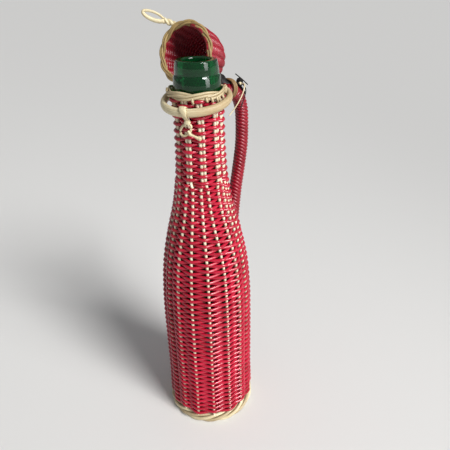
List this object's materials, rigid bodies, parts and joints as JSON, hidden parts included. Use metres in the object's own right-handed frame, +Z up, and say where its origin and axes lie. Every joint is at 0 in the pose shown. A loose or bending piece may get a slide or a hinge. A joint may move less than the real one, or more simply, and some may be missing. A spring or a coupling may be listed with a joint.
{
  "type": "wicker-covered bottle",
  "caption": "Glass bottle in a plaited jacket of red cord over cane stakes, with a wound loop handle and a woven cap that swings on a strap.",
  "frame": {"origin": "centre of the base's underside, on the bottle's axis", "axes": "+Z up along the bottle's axis, +Y toward the handle"},
  "size_m": [0.0914, 0.0964, 0.3254],
  "materials": {
    "green_glass": "dark green, clear, glossy",
    "red_cord": "glossy red",
    "natural_cane": "pale peeled cane, satin",
    "black_strap": "black, dull",
    "pale_straw": "dry straw"
  },
  "bodies": {
    "bottle": {"glass_bottle": "green_glass", "cap_strap": "black_strap", "strap_knot": "black_strap", "knot_bead": "pale_straw", "straw_end": "pale_straw", "base_disc": "natural_cane", "stake_01": "natural_cane", "stake_02": "natural_cane", "stake_03": "natural_cane", "stake_04": "natural_cane", "stake_05": "natural_cane", "stake_06": "natural_cane", "stake_07": "natural_cane", "stake_08": "natural_cane", "stake_09": "natural_cane", "stake_10": "natural_cane", "stake_11": "natural_cane", "stake_12": "natural_cane", "stake_13": "natural_cane", "stake_14": "natural_cane", "stake_15": "natural_cane", "stake_16": "natural_cane", "stake_17": "natural_cane", "foot_border_strand_1": "natural_cane", "foot_border_strand_2": "natural_cane", "neck_border_strand_1": "natural_cane", "neck_border_strand_2": "natural_cane", "neck_hoop": "natural_cane", "hoop_tie": "natural_cane", "tie_knot": "natural_cane", "tie_loop": "natural_cane", "tie_tail": "natural_cane", "handle_core": "natural_cane", "strap_lashing": "natural_cane", "body_weaver": "red_cord", "neck_weaver": "red_cord", "handle_wrap": "red_cord"},
    "cap": {"cap_weave": "red_cord", "cap_rim_strand_1": "natural_cane", "cap_rim_strand_2": "natural_cane"},
    "latch": {"cap_loop": "natural_cane"}
  },
  "joints": [
    {"name": "cap_hinge", "type": "hinge", "parent": "bottle", "child": "cap", "pos_m": [-0.00885, 0.01838, 0.28715], "axis": [0.6585, 0.6227, 0.4226], "range_deg": [0, 125.2], "deforming": ["cap_strap"]},
    {"name": "latch_hinge", "type": "hinge", "parent": "cap", "child": "latch", "pos_m": [-0.03743, 0.02491, 0.31405], "axis": [0.7878, 0.2342, 0.5696], "range_deg": [-75, 30]}
  ]
}
